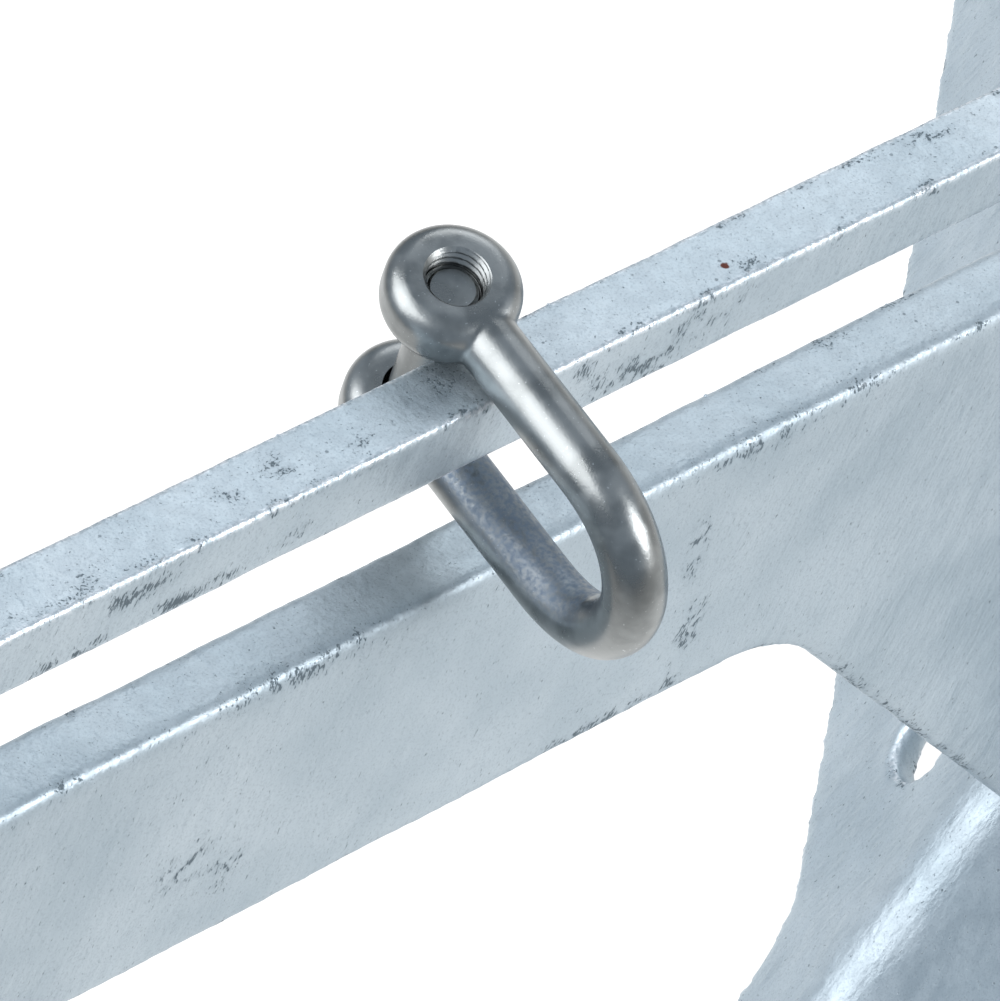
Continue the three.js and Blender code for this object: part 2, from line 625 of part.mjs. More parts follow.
const anchor = new THREE.Group();
anchor.add(railFrame);
anchor.updateMatrixWorld(true);
const extent = new THREE.Box3().setFromObject(anchor, true);
railFrame.position.set(-(extent.min.x + extent.max.x) / 2, 0, -extent.min.z);

export default anchor;
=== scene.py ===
import json
import math

import bmesh
import bpy
import numpy as np
from mathutils import Matrix, Vector
from mathutils.kdtree import KDTree


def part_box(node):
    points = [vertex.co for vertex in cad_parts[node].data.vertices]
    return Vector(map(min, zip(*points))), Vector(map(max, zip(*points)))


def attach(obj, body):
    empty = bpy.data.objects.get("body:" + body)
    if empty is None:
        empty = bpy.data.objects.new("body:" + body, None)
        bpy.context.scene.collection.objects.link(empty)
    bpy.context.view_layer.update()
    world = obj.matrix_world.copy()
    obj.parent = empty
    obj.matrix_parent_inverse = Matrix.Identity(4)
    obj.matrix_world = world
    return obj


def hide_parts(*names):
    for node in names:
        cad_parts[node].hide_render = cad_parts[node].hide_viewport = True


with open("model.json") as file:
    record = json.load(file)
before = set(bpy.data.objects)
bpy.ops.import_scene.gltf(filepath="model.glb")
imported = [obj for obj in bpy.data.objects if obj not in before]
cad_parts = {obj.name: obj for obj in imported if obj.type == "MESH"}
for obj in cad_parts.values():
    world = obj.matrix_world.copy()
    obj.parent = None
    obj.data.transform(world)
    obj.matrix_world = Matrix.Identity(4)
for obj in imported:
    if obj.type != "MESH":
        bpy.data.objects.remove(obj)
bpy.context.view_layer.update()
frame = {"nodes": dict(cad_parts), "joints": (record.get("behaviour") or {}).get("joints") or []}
mm = 0.001

# ---- Camera ----
# A long lens from above the near side, rolled so that the rail climbs from left to right.
looked_at = Vector((0.0955, 0.0, 0.2961))
camera_distance = 1.398
camera_azimuth = math.radians(13.86)
camera_elevation = math.radians(62.89)
camera_roll = math.radians(31.40)

forward = Vector((math.sin(camera_azimuth) * math.cos(camera_elevation),
                  math.cos(camera_azimuth) * math.cos(camera_elevation),
                  -math.sin(camera_elevation)))
level = Vector((math.cos(camera_azimuth), -math.sin(camera_azimuth), 0))
sky = level.cross(forward)
camera_right = level * math.cos(camera_roll) - sky * math.sin(camera_roll)
camera_up = camera_right.cross(forward)
camera = bpy.data.objects.new("camera", bpy.data.cameras.new("camera"))
camera.data.lens = 327.3
camera.data.clip_end = 50
camera.matrix_world = (
    Matrix.Translation(looked_at - forward * camera_distance)
    @ Matrix((camera_right, camera_up, -forward)).transposed().to_4x4())
bpy.context.scene.collection.objects.link(camera)
bpy.context.scene.camera = camera

# ---- Hot-dip zinc ----
# The welded anchor is dipped whole in molten zinc. The coat freezes matt and cloudy, pale
# blue-grey, with a fine orange peel, a painted highlight along its edges, and dark where it has scuffed.


def linear(colour):
    """An sRGB hex colour as the linear RGBA that a socket takes."""
    channels = [int(colour[i:i + 2], 16) / 255 for i in (1, 3, 5)]
    return [c / 12.92 if c <= 0.04045 else ((c + 0.055) / 1.055) ** 2.4 for c in channels] + [1]


def add(tree, kind, inputs=None, **settings):
    """A new node with its settings, and its inputs linked or set. A node that is given as an
    input stands for its first output in use."""
    node = tree.nodes.new(kind)
    for name, value in settings.items():
        setattr(node, name, value)
    for key, value in (inputs or {}).items():
        if isinstance(value, bpy.types.Node):
            value = next(output for output in value.outputs if output.enabled)
        if isinstance(value, bpy.types.NodeSocket):
            tree.links.new(value, node.inputs[key])
        else:
            node.inputs[key].default_value = value
    return node


maths = "ShaderNodeMath"
ramp = "ShaderNodeMapRange"
mix = "ShaderNodeMix"
eased = {"interpolation_type": "SMOOTHSTEP"}
in_colour = {"data_type": "RGBA"}
drag_angle = math.radians(47)  # of the marks on the sides, the way the shackle drags across them


def hot_dip_zinc(name, pale, dull, peel=1.0, roughness=0.48, rust_at=None):
    """Zinc frozen on steel, which the eye takes as pale matt metal with no clear reflections.
    Pale and dull are the two ends of its faint clouding, and rust_at is a place where the
    steel shows through."""
    material = bpy.data.materials.new(name)
    material.use_nodes = True
    tree = material.node_tree
    tree.nodes.clear()
    place = add(tree, "ShaderNodeTexCoord").outputs["Object"]
    edge = add(tree, "ShaderNodeAttribute", attribute_name="edge").outputs["Fac"]
    scuff_and_shade = add(tree, "ShaderNodeAttribute", attribute_name="scuff_and_shade").outputs["Fac"]
    dragged = add(tree, "ShaderNodeMapping", {
        "Vector": place, "Rotation": (0.0, drag_angle, 0.0), "Scale": (1.0, 1.0, 3.0),
    }, vector_type="TEXTURE")

    # each pattern with its real size in millimetres, its detail and its distortion
    patterns = {}
    for what, size, detail, distortion, where in (
            ("clouds", 24, 3, 0.0, place),
            ("mottle", 3.2, 3, 0.0, dragged),
            ("grain", 0.42, 3, 0.0, place),
            ("patches", 3.4, 4, 0.6, place),
            ("stray patches", 13, 3, 0.0, place),
            ("breaks along an edge", 8, 3, 0.0, place),
            ("flecks", 0.44, 4, 0.4, dragged),
            ("painted_edge_glint", 0.7, 3, 0.0, dragged),
            ("orange peel", 1.4, 3, 0.0, dragged),
            ("rust's rim", 0.8, 2, 0.0, place)):
        patterns[what] = add(tree, "ShaderNodeTexNoise", {
            "Vector": where, "Scale": 1 / (size * mm), "Detail": detail, "Distortion": distortion})

    # faint clouds over centimetres, mottling over millimetres, and a fine grain
    broad = add(tree, maths, {0: patterns["clouds"], 1: 0.7}, operation="MULTIPLY")
    tone = add(tree, maths, {0: patterns["mottle"], 1: 0.3, 2: broad}, operation="MULTIPLY_ADD")
    clouding = add(tree, ramp, {"Value": tone, "From Min": 0.34, "From Max": 0.64}, **eased)
    grain = add(tree, ramp, {"Value": patterns["grain"], "From Min": 0.48, "From Max": 0.72}, **eased)

    # sparse pits a third of a millimetre wide
    cells = add(tree, "ShaderNodeTexVoronoi", {"Vector": place, "Scale": 1 / (3.4 * mm)})
    hollow = add(tree, ramp, {"Value": cells.outputs["Distance"], "From Min": 0.06, "From Max": 0.1,
                              "To Min": 1.0, "To Max": 0.0}, **eased)
    sparse = add(tree, ramp, {"Value": cells.outputs["Color"], "From Min": 0.6, "From Max": 0.62}, **eased)
    pit = add(tree, maths, {0: hollow, 1: sparse}, operation="MULTIPLY")

    # scuffs: a dull smudge filled with fine steep flecks, thick where the piece has rubbed; the same marks
    # along the shank web's front edge are painted shade
    patchy = add(tree, ramp, {"Value": patterns["patches"], "From Min": 0.4, "From Max": 0.6}, **eased)
    stray = add(tree, ramp, {"Value": patterns["stray patches"], "From Min": 0.62, "From Max": 0.74,
                             "To Max": 0.1}, **eased)
    by_edge = add(tree, ramp, {"Value": edge, "From Min": 0.05, "From Max": 0.5}, **eased)
    broken = add(tree, ramp, {"Value": patterns["breaks along an edge"], "From Min": 0.5, "From Max": 0.66,
                              "To Max": 0.75}, **eased)
    rubbed = add(tree, maths, {0: by_edge, 1: broken}, operation="MULTIPLY")
    wear_and_shade = add(tree, maths, {0: scuff_and_shade, 1: stray}, operation="MAXIMUM")
    wear_and_shade = add(tree, maths, {0: wear_and_shade, 1: rubbed}, operation="MAXIMUM")
    wear_and_shade = add(tree, maths, {0: wear_and_shade, 1: patchy}, operation="MULTIPLY")
    flecks = add(tree, maths, {0: wear_and_shade, 1: 0.33, 2: patterns["flecks"]}, operation="MULTIPLY_ADD")
    dark = add(tree, ramp, {"Value": flecks, "From Min": 0.64, "From Max": 0.76}, **eased)

    # a painted highlight: a broken, frosty white glint painted along the rounded edges
    on_edge = add(tree, ramp, {"Value": edge, "From Min": 0.45, "From Max": 0.9}, **eased)
    sparkle = add(tree, ramp, {"Value": patterns["painted_edge_glint"], "From Min": 0.4, "From Max": 0.56}, **eased)
    painted_edge_glint = add(tree, maths, {0: on_edge, 1: sparkle}, operation="MULTIPLY")

    # the colours in the order in which they lie on each other, each with its strength
    # the white layer on top is the painted highlight along the edges
    layers = [(grain, 0.3, "#8896A0"), (pit, 0.55, "#56636B"), (wear_and_shade, 0.42, "#8494A0"),
              (dark, 0.78, "#56646C"), (painted_edge_glint, 0.75, "#F2F7FC")]
    if rust_at is not None:
        # a single brown spot of rust with a ragged rim
        away = add(tree, "ShaderNodeVectorMath", {
            0: place, 1: rust_at}, operation="DISTANCE").outputs["Value"]
        ragged = add(tree, maths, {0: patterns["rust's rim"], 1: 0.9 * mm, 2: away}, operation="MULTIPLY_ADD")
        rust = add(tree, ramp, {"Value": ragged, "From Min": 0.95 * mm, "From Max": 1.25 * mm,
                                "To Min": 1.0, "To Max": 0.0}, **eased)
        layers.append((rust, 1.0, "#64382F"))
    colour = add(tree, mix, {0: clouding, 6: linear(dull), 7: linear(pale)}, **in_colour)
    for share, strength, tint in layers:
        cover = add(tree, maths, {0: share, 1: strength}, operation="MULTIPLY")
        colour = add(tree, mix, {0: cover, 6: colour, 7: linear(tint)}, **in_colour)

    dents = add(tree, maths, {0: dark, 1: pit}, operation="MAXIMUM")
    height = add(tree, maths, {0: patterns["orange peel"], 1: peel}, operation="MULTIPLY")
    height = add(tree, maths, {0: patterns["grain"], 1: 0.16, 2: height}, operation="MULTIPLY_ADD")
    height = add(tree, maths, {0: dents, 1: -0.22, 2: height}, operation="MULTIPLY_ADD")
    bump = add(tree, "ShaderNodeBump", {"Height": height, "Strength": 0.7, "Distance": 0.3 * mm})
    rough = add(tree, ramp, {"Value": patterns["mottle"], "From Min": 0.35, "From Max": 0.65,
                             "To Min": roughness - 0.04, "To Max": roughness + 0.05}, **eased)
    rough = add(tree, maths, {0: dark, 1: 0.2, 2: rough}, operation="MULTIPLY_ADD")
    rough = add(tree, maths, {0: painted_edge_glint, 1: -0.12, 2: rough}, operation="MULTIPLY_ADD")
    shader = add(tree, "ShaderNodeBsdfPrincipled", {
        "Base Color": colour, "Metallic": 0.75, "Roughness": rough, "Normal": bump})
    add(tree, "ShaderNodeOutputMaterial", {"Surface": shader})
    return material


zinc_plate = hot_dip_zinc("hot_dip_zinc_on_plate", "#C3CED5", "#B4C1C9")

# ---- Fluke: ridge and two blades ----
# A folded ridge with a blade welded flush along each side. The seams are ground away and
# zinc runs over them, so the coat is grown over all three first and parted at the seams.


def merged_copy(*nodes):
    """The solids of these nodes as one, with shared corners."""
    solid = bmesh.new()
    for node in nodes:
        solid.from_mesh(frame["nodes"][node].data)
    bmesh.ops.remove_doubles(solid, verts=solid.verts, dist=1e-6)
    return solid


def sharp_edge_points(solid, spacing=1.0 * mm, angle=math.radians(28)):
    """Points along the solid's sharp edges."""
    points = []
    for edge in solid.edges:
        if len(edge.link_faces) == 2 and edge.calc_face_angle(0) > angle:
            first, last = (v.co for v in edge.verts)
            count = max(1, round((last - first).length / spacing))
            points += [first.lerp(last, i / count) for i in range(count + 1)]
    return points


def finished(thing):
    """The object with its modifiers made into a plain mesh."""
    bpy.context.view_layer.update()
    evaluated = thing.evaluated_get(bpy.context.evaluated_depsgraph_get())
    mesh = bpy.data.meshes.new_from_object(evaluated)
    thing.modifiers.clear()
    thing.data = mesh
    return thing


def made_object(name, solid, place=Matrix.Identity(4)):
    """An object at the origin from a bmesh, put in its place."""
    mesh = bpy.data.meshes.new(name)
    solid.to_mesh(mesh)
    solid.free()
    mesh.transform(place)
    thing = bpy.data.objects.new(name, mesh)
    bpy.context.scene.collection.objects.link(thing)
    return thing


def cut(thing, tool, operation="DIFFERENCE"):
    """Cuts the tool's shape out of the object, or joins it on, and throws the tool away."""
    boolean = thing.modifiers.new("cut", "BOOLEAN")
    boolean.operation = operation
    boolean.solver = "MANIFOLD"
    boolean.object = tool
    finished(thing)
    bpy.data.objects.remove(tool)
    return thing


def zinc_runs_tree():
    """Nodes that move a surface in and out, as zinc that ran and froze."""
    tree = bpy.data.node_groups.new("zinc_runs", "GeometryNodeTree")
    tree.interface.new_socket("Geometry", in_out="INPUT", socket_type="NodeSocketGeometry")
    for name in ("Run Depth", "Run Length", "Ripple Depth", "Ripple Length", "Seed"):
        tree.interface.new_socket(name, in_out="INPUT", socket_type="NodeSocketFloat")
    tree.interface.new_socket("Geometry", in_out="OUTPUT", socket_type="NodeSocketGeometry")
    given = add(tree, "NodeGroupInput").outputs
    moves = []
    for depth, length in (("Run Depth", "Run Length"), ("Ripple Depth", "Ripple Length")):
        scale = add(tree, "ShaderNodeMath", {0: 1.0, 1: given[length]}, operation="DIVIDE").outputs[0]
        wave = add(tree, "ShaderNodeTexNoise", {
            "W": given["Seed"], "Scale": scale, "Detail": 1.5}, noise_dimensions="4D").outputs[0]
        centred = add(tree, "ShaderNodeMath", {0: wave, 1: 0.5}, operation="SUBTRACT").outputs[0]
        moves.append(add(tree, maths, {0: centred, 1: given[depth]}, operation="MULTIPLY"))
    both = add(tree, "ShaderNodeMath", {0: moves[0], 1: moves[1]}, operation="ADD").outputs[0]
    normal = add(tree, "GeometryNodeInputNormal").outputs[0]
    offset = add(tree, "ShaderNodeVectorMath", {0: normal, "Scale": both}, operation="SCALE").outputs[0]
    moved = add(tree, "GeometryNodeSetPosition", {"Geometry": given["Geometry"], "Offset": offset})
    add(tree, "NodeGroupOutput", {0: moved.outputs[0]})
    return tree


zinc_runs = zinc_runs_tree()


def set_inputs(modifier, values):
    """Sets a Geometry Nodes modifier's inputs, each given by its name."""
    for item in modifier.node_group.interface.items_tree:
        if item.name in values:
            modifier[item.identifier] = values[item.name]


def coated(name, solid, voxel, rounding, run_depth=0.5, run_length=16.0, ripple_depth=0.25,
           ripple_length=4.0, seed=0.0, scuffs_and_shade=(), is_edge=lambda point: True):
    """The solid with its edges rounded and zinc run over it, as an object.
    Sizes are in millimetres. Its points know how near an edge they are, how scuffed, and where shade is
    painted on them."""
    edges = [point for point in sharp_edge_points(solid) if is_edge(point)]
    thing = made_object(name, solid)
    remesh = thing.modifiers.new("skin", "REMESH")
    remesh.mode = "VOXEL"
    remesh.voxel_size = voxel * mm
    remesh.use_smooth_shade = True
    smooth = thing.modifiers.new("rounding", "SMOOTH")
    smooth.factor = 0.5
    smooth.iterations = rounding
    runs = thing.modifiers.new("runs", "NODES")
    runs.node_group = zinc_runs
    set_inputs(runs, {"Run Depth": run_depth * mm, "Run Length": run_length * mm,
                      "Ripple Depth": ripple_depth * mm, "Ripple Length": ripple_length * mm, "Seed": seed})
    finished(thing)
    tree = KDTree(len(edges))
    for index, point in enumerate(edges):
        tree.insert(point, index)
    tree.balance()
    places = np.empty(len(thing.data.vertices) * 3, np.float32)
    thing.data.vertices.foreach_get("co", places)
    places = places.reshape(-1, 3)
    distance = np.array([tree.find(place)[2] for place in places])
    near = np.exp(-(distance / (1.6 * mm)) ** 2)
    wear_and_shade = np.zeros(len(places))
    for centre, reach, strength in scuffs_and_shade:
        away = (places - np.array(centre)) @ rail_turn.T / (np.array(reach) * mm)
        wear_and_shade = np.maximum(wear_and_shade, strength * np.exp(-(away ** 2).sum(1)))
    for attribute, values in (("edge", near), ("scuff_and_shade", wear_and_shade)):
        layer = thing.data.attributes.new(attribute, "FLOAT", "POINT")
        layer.data.foreach_set("value", values.astype(np.float32))
    return thing


# The rail's own directions: along it towards the crown, across it, and up square to it.
slide = next(joint for joint in frame["joints"] if joint["name"] == "shackle_slide")
swing = next(joint for joint in frame["joints"] if joint["name"] == "bow_swing")
rail_along = Vector(slide["axis"]).normalized()
rail_up = Vector((-rail_along.z, 0, rail_along.x))
rail_turn = np.array([rail_along, (0, 1, 0), rail_up])
pin_middle = Vector(swing["pos_m"])


def by_rail(along, across, up):
    """A place in millimetres from the shackle pin: along the rail, off the middle plane and up."""
    return Vector((pin_middle.x, across * mm, pin_middle.z)) + (rail_along * along + rail_up * up) * mm


def long_axis(node):
    """The middle of a straight piece, the direction of its longest edge and half its length."""
    solid = merged_copy(node)
    corner_edges = [e for e in solid.edges if e.calc_face_angle(0) > math.radians(5)]
    longest = max(corner_edges, key=lambda e: e.calc_length())
    direction = (longest.verts[1].co - longest.verts[0].co).normalized()
    if direction.x < 0:
        direction = -direction
    low, high = (Vector(corner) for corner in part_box(node))
    middle = (low + high) / 2
    reach = [(v.co - middle).dot(direction) for v in solid.verts]
    solid.free()
    return middle + direction * (max(reach) + min(reach)) / 2, direction, (max(reach) - min(reach)) / 2


ridge_middle, ridge_along, ridge_half = long_axis("ridge_fold")
blade_slope = math.radians(35)
seam_gap = 0.3 * mm
seam_grinding = 1.5 * mm  # how far from a seam the grinding reaches
fold_reach = 16 * mm  # how far from the ridge the press rounded it
ridge_up = Vector((-ridge_along.z, 0, ridge_along.x))


def blade_across(side):
    """The direction out along a blade, square to the ridge."""
    return Vector((0, side * math.cos(blade_slope), 0)) - ridge_up * math.sin(blade_slope)


fluke = made_object("whole_fluke", merged_copy("ridge_fold"))
seams = {}
for blade, side in (("blade_near", -1), ("blade_far", 1)):
    across = blade_across(side)
    part = merged_copy(blade)
    inner = min(v.co.dot(across) for v in part.verts)
    seams[side] = inner - seam_gap / 2
    for v in part.verts:
        if v.co.dot(across) < inner + 0.05 * mm:
            v.co -= across * seam_gap * 2
    cut(fluke, made_object("part", part), "UNION")
welded = bmesh.new()
welded.from_mesh(fluke.data)
bpy.data.objects.remove(fluke)


def off_the_seams(point):
    """Whether a point is clear of both ground seams, where nothing shows."""
    return all(abs(point.dot(blade_across(side)) - seams[side]) > seam_grinding for side in seams)


whole_fluke = coated("whole_fluke", welded, 1.15, 8, run_depth=1.1, run_length=13, ripple_depth=0.35,
                     ripple_length=5, seed=3.0, is_edge=off_the_seams)
# the fold was pressed hot, so it is rounder than the blades' edges
fold = whole_fluke.vertex_groups.new(name="fold")
for v in whole_fluke.data.vertices:
    away = Vector(v.co) - ridge_middle
    away -= ridge_along * away.dot(ridge_along)
    weight = math.exp(-(away.length / fold_reach) ** 4)
    if weight > 0.02:
        fold.add([v.index], weight, "REPLACE")
pressed = whole_fluke.modifiers.new("pressed", "SMOOTH")
pressed.factor = 0.5
pressed.iterations = 30
pressed.vertex_group = "fold"
finished(whole_fluke)


def parted(name, whole, cuts, node, material, slot_name):
    """The part of a coated object inside some planes, closed again, in place of its node."""
    piece = bmesh.new()
    piece.from_mesh(whole.data)
    for point, outward in cuts:
        sliced = bmesh.ops.bisect_plane(
            piece, geom=piece.verts[:] + piece.edges[:] + piece.faces[:], dist=1e-7,
            plane_co=point, plane_no=outward, clear_outer=True)
        open_edges = [e for e in sliced["geom_cut"] if isinstance(e, bmesh.types.BMEdge)]
        bmesh.ops.holes_fill(piece, edges=open_edges, sides=0)
    bmesh.ops.triangulate(piece, faces=[f for f in piece.faces if len(f.verts) > 4])
    thing = made_object(name, piece)
    thing.data.shade_smooth()
    thing.data.set_sharp_from_angle(angle=math.radians(50))
    return dressed(thing, material, slot_name, "anchor", node)


def dressed(thing, material, slot_name, body, *nodes):
    """Gives a finished piece its material, its body and the nodes that it stands for."""
    thing.data.materials.clear()
    thing.data.materials.append(material)
    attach(thing, body)
    if nodes:
        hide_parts(*nodes)
    return thing


seam_planes = {side: (blade_across(side) * seams[side], blade_across(side)) for side in (1, -1)}
parted("fluke_ridge", whole_fluke, list(seam_planes.values()), "ridge_fold", zinc_plate, "galvanised_plate")
for blade, side in (("blade_near", -1), ("blade_far", 1)):
    point, outward = seam_planes[side]
    parted("fluke_" + blade, whole_fluke, [(point, -outward)], blade, zinc_plate, "galvanised_plate")
bpy.data.objects.remove(whole_fluke)

# ---- Forged point, ballast, side plates and brace ----
# The point is a forging that takes the wear of the sea bed, and the ballast behind it is a
# rough casting boxed in by plates. They are duller and lumpier than the plate.

zinc_casting = hot_dip_zinc("hot_dip_zinc_on_forging", "#B7C3CA", "#9EACB5", peel=1.5, roughness=0.5)
for node, rounding, depth, seed in (("forged_point", 7, 0.9, 11.0), ("ballast_casting", 3, 0.8, 12.0)):
    dressed(coated(node + "_skin", merged_copy(node), 1.0, rounding, run_depth=depth, seed=seed),
            zinc_casting, "galvanised_casting", "anchor", node)
for index, node in enumerate(("ballast_side_near", "ballast_side_far", "heel_brace")):
    dressed(coated(node + "_skin", merged_copy(node), 0.9, 4, seed=20.0 + index),
            zinc_plate, "galvanised_plate", "anchor", node)

# ---- Shank ----
# One thick plate, flame cut: arm, arch and root web. Its long edges are dressed round, and
# the chain eye is drilled through the nose. The far end is rough where the zinc drained.

shank_side = -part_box("shank")[0].y / mm
# scuffs on the shank, and below them painted shade along the web's front edge
shank_scuffs_and_shade = [
    (by_rail(-35, -shank_side, -35.5), (16, 3, 2.2), 0.8),
    (by_rail(-50, -shank_side, -70), (5, 3, 4), 1.0),
    (by_rail(-41, -shank_side, -75), (4, 3, 3), 0.8),
    (by_rail(54.5, -shank_side, -52), (2.5, 3, 4), 0.8),
    (by_rail(55, -shank_side, -60), (2, 3, 3), 0.7),
    (by_rail(59, -shank_side, -75), (3, 3, 5), 0.95),
    (by_rail(57, -shank_side, -87), (3, 3, 4), 0.8),
    (by_rail(42, -shank_side, -89), (16, 3, 2.5), 0.7),
    (by_rail(88, 6, -34), (4, 3, 3), 0.8),
    (by_rail(64, -shank_side, -36), (12, 3, 2.5), 0.8),
    (by_rail(84, -shank_side, -35), (8, 3, 2.0), 0.7),
]
# painted shade: the web's front edge, a rounded edge that lies in shadow, is darkened all the way down with
# the scuff marks
shank_scuffs_and_shade += [(by_rail(95 + step * 2.5, -shank_side, -103 - step * 2.7), (2.6, 5, 2.6), 1.0)
                 for step in range(25)]
shank_plate = coated("shank_plate", merged_copy("shank"), 1.2, 20, run_depth=0.7, run_length=18,
                     ripple_depth=0.18, ripple_length=4.5, seed=1.0, scuffs_and_shade=shank_scuffs_and_shade)
dressed(shank_plate, zinc_plate, "galvanised_plate", "anchor", "shank")

# ---- Slide rail ----
# Square bar, bent down at both ends and welded on to the shank. The shackle runs along it,
# so it is bright on top and its lower front edge is scuffed.

rail_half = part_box("slide_rail")[1].y / mm
rail_top = 7.6  # above the pin's middle
rail_scuffs = [
    (by_rail(-87, -rail_half, -3.5), (7, 3, 2.2), 1.0),
    (by_rail(-76, -rail_half, 3.5), (8, 3, 2.5), 0.85),
    (by_rail(-68, -rail_half, -3.0), (8, 3, 1.8), 1.0),
    (by_rail(-57, -rail_half, -2.5), (3, 3, 2.0), 0.8),
    (by_rail(-42, -rail_half, -1.5), (4, 3, 2.0), 0.6),
    (by_rail(14, -rail_half, 4.0), (2, 3, 2.5), 0.8),
    (by_rail(26, -rail_half, -1.0), (12, 3, 3.0), 0.75),
    (by_rail(40, -rail_half, 3.0), (10, 3, 3.0), 0.65),
    (by_rail(-86, -3.5, rail_top), (5, 2.5, 3), 0.6),
    (by_rail(-96, -4.0, rail_top), (5, 2.5, 3), 0.6),
    (by_rail(-70, -5.0, rail_top), (9, 1.5, 3), 0.6),
    (by_rail(-52, 0.0, rail_top), (2.5, 2, 3), 0.9),
    (by_rail(-43, 0.5, rail_top), (2.5, 2, 3), 0.8),
    (by_rail(-29, -1.0, rail_top), (2.5, 2, 3), 0.8),
    (by_rail(50, -4.0, rail_top), (4, 1.5, 3), 0.6),
    (by_rail(96, 3.5, rail_top), (5, 3, 3), 0.7),
    (by_rail(84, 5.0, rail_top), (3, 1.5, 3), 0.6),
    (by_rail(-10, 2.0, rail_top), (6, 3, 3), 0.7),
]
zinc_bar = hot_dip_zinc("hot_dip_zinc_on_bar", "#C8D3DA", "#B9C6CE", roughness=0.46,
                        rust_at=by_rail(46.6, -2.2, rail_top))
square_rail = coated("square_slide_rail", merged_copy("slide_rail"), 0.7, 4, run_depth=0.35, run_length=11,
                     ripple_depth=0.12, ripple_length=3, seed=2.0, scuffs_and_shade=rail_scuffs)
dressed(square_rail, zinc_bar, "galvanised_bar", "anchor", "slide_rail")

# ---- Welds ----
# Each is one pass of the torch: a row of frozen puddles, a little uneven, under the zinc.


def weld_tree():
    """Nodes that lay overlapping puddles along a line."""
    tree = bpy.data.node_groups.new("weld_bead", "GeometryNodeTree")
    for name, kind in (("Start", "Vector"), ("End", "Vector"), ("Pitch", "Float"), ("Radius", "Float"),
                       ("Seed", "Int"), ("Material", "Material")):
        tree.interface.new_socket(name, in_out="INPUT", socket_type="NodeSocket" + kind)
    tree.interface.new_socket("Geometry", in_out="OUTPUT", socket_type="NodeSocketGeometry")
    given = add(tree, "NodeGroupInput").outputs
    line = add(tree, "GeometryNodeCurvePrimitiveLine", {"Start": given["Start"], "End": given["End"]})
    spaced = add(tree, "GeometryNodeResampleCurve", {"Curve": line.outputs[0], "Length": given["Pitch"]},
                 mode="LENGTH")
    puddle = add(tree, "GeometryNodeMeshUVSphere", {"Segments": 16, "Rings": 8, "Radius": given["Radius"]})
    tangent = add(tree, "GeometryNodeInputTangent").outputs[0]
    facing = add(tree, "FunctionNodeAlignRotationToVector", {"Vector": tangent}, axis="Z")
    size = add(tree, "FunctionNodeRandomValue", {
        "Min": (0.9, 0.9, 0.5), "Max": (1.08, 1.08, 0.75), "Seed": given["Seed"]}, data_type="FLOAT_VECTOR")
    placed = add(tree, "GeometryNodeInstanceOnPoints", {
        "Points": spaced.outputs[0], "Instance": puddle.outputs[0],
        "Rotation": facing.outputs[0], "Scale": size.outputs[0]})
    real = add(tree, "GeometryNodeRealizeInstances", {0: placed.outputs[0]})
    painted = add(tree, "GeometryNodeSetMaterial", {
        "Geometry": real.outputs[0], "Material": given["Material"]})
    add(tree, "NodeGroupOutput", {0: painted.outputs[0]})
    return tree


weld_bead = weld_tree()
zinc_weld = hot_dip_zinc("hot_dip_zinc_on_weld", "#C3CED4", "#A8B5BD", peel=0.6, roughness=0.42)
puddle_share = 0.8  # of the weld's own reach, because the puddles swell it
weld_nodes = [n for n in frame["nodes"] if "_weld" in n]
for index, node in enumerate(sorted(weld_nodes)):
    middle, along, half = long_axis(node)
    places = np.array([v.co for v in frame["nodes"][node].data.vertices]) - np.array(middle)
    off_line = places - np.outer(places @ np.array(along), along)
    radius = np.linalg.norm(off_line, axis=1).max() * puddle_share
    bead = made_object(node + "_bead", bmesh.new())
    laid = bead.modifiers.new("laid", "NODES")
    laid.node_group = weld_bead
    set_inputs(laid, {"Start": middle - along * half, "End": middle + along * half,
                      "Pitch": 1.4 * mm, "Radius": radius, "Seed": 40 + index, "Material": zinc_weld})
    melted = bead.modifiers.new("melted", "REMESH")
    melted.mode = "VOXEL"
    melted.voxel_size = 0.5 * mm
    melted.use_smooth_shade = True
    settled = bead.modifiers.new("settled", "SMOOTH")
    settled.iterations = 2
    dressed(finished(bead), zinc_weld, "weld_metal", "anchor", node)

# ---- Zinc nodules ----
# Spatter and last drops that froze on the edges as the anchor was lifted from the bath.


